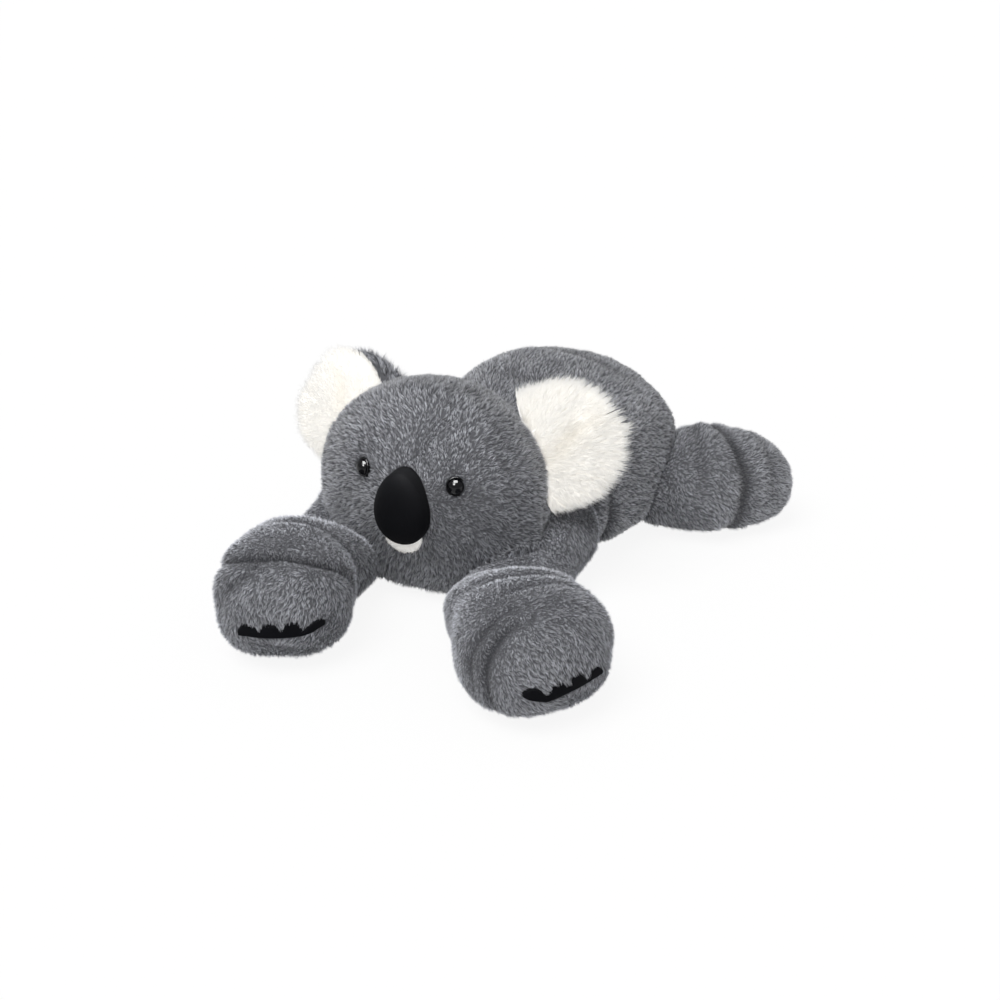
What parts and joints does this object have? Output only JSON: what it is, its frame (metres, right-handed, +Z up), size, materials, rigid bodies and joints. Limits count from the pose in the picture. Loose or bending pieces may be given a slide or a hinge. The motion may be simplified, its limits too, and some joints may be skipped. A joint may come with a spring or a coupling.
{
  "type": "plush koala",
  "caption": "Plush koala lying on its belly, with soft hinged head, ears, arms and legs, a padded nose, glossy eyes and felt claws.",
  "frame": {"origin": "middle of the toy's bounding box on the ground that it lies on", "axes": "+Z up, the face looks along -Y, the tail end is towards +Y and the koala's left is +X"},
  "size_m": [0.329, 0.4672, 0.1546],
  "materials": {
    "grey_pile": "matte",
    "white_pile": "matte",
    "nose_felt": "matte",
    "claw_felt": "matte",
    "stuffing": "matte",
    "eye_plastic": "gloss",
    "washer_plastic": "satin"
  },
  "bodies": {
    "torso": {"torso_skin": "grey_pile", "torso_stuffing": "stuffing"},
    "head": {"head_skin": "grey_pile", "head_stuffing": "stuffing", "nose_pad": "nose_felt", "nose_wadding": "stuffing", "chin_patch": "white_pile", "eye_left": "eye_plastic", "eye_washer_left": "washer_plastic", "eye_right": "eye_plastic", "eye_washer_right": "washer_plastic"},
    "arm_left": {"arm_skin_left": "grey_pile", "arm_stuffing_left": "stuffing", "claw_strip_left": "claw_felt"},
    "leg_left": {"leg_skin_left": "grey_pile", "leg_stuffing_left": "stuffing"},
    "ear_left": {"ear_front_left": "white_pile", "ear_back_left": "grey_pile"},
    "arm_right": {"arm_skin_right": "grey_pile", "arm_stuffing_right": "stuffing", "claw_strip_right": "claw_felt"},
    "leg_right": {"leg_skin_right": "grey_pile", "leg_stuffing_right": "stuffing"},
    "ear_right": {"ear_front_right": "white_pile", "ear_back_right": "grey_pile"}
  },
  "joints": [
    {"name": "neck", "type": "hinge", "parent": "torso", "child": "head", "pos_m": [-0.03754, 0.01638, 0.066], "axis": [-1, 0, 0], "range_deg": [0, 12], "stiffness_Nm_per_rad": 0.6},
    {"name": "shoulder_left", "type": "hinge", "parent": "torso", "child": "arm_left", "pos_m": [0.03646, -0.00962, 0.0335], "axis": [0, 0, 1], "range_deg": [0, 14], "stiffness_Nm_per_rad": 0.2},
    {"name": "shoulder_right", "type": "hinge", "parent": "torso", "child": "arm_right", "pos_m": [-0.10654, 0.00238, 0.0335], "axis": [0, 0, -1], "range_deg": [0, 14], "stiffness_Nm_per_rad": 0.2},
    {"name": "hip_left", "type": "hinge", "parent": "torso", "child": "leg_left", "pos_m": [0.07555, 0.09787, 0.0335], "axis": [0, 0, 1], "range_deg": [-8, 8], "stiffness_Nm_per_rad": 0.2},
    {"name": "hip_right", "type": "hinge", "parent": "torso", "child": "leg_right", "pos_m": [-0.06588, 0.14145, 0.0335], "axis": [0, 0, 1], "range_deg": [-8, 8], "stiffness_Nm_per_rad": 0.2},
    {"name": "ear_left", "type": "hinge", "parent": "head", "child": "ear_left", "pos_m": [0.02784, -0.03452, 0.10018], "axis": [-0.5149, 0.4071, 0.7544], "range_deg": [-12, 12], "stiffness_Nm_per_rad": 0.2},
    {"name": "ear_right", "type": "hinge", "parent": "head", "child": "ear_right", "pos_m": [-0.10291, -0.03452, 0.10018], "axis": [0.5149, 0.4071, 0.7544], "range_deg": [-12, 12], "stiffness_Nm_per_rad": 0.2}
  ]
}
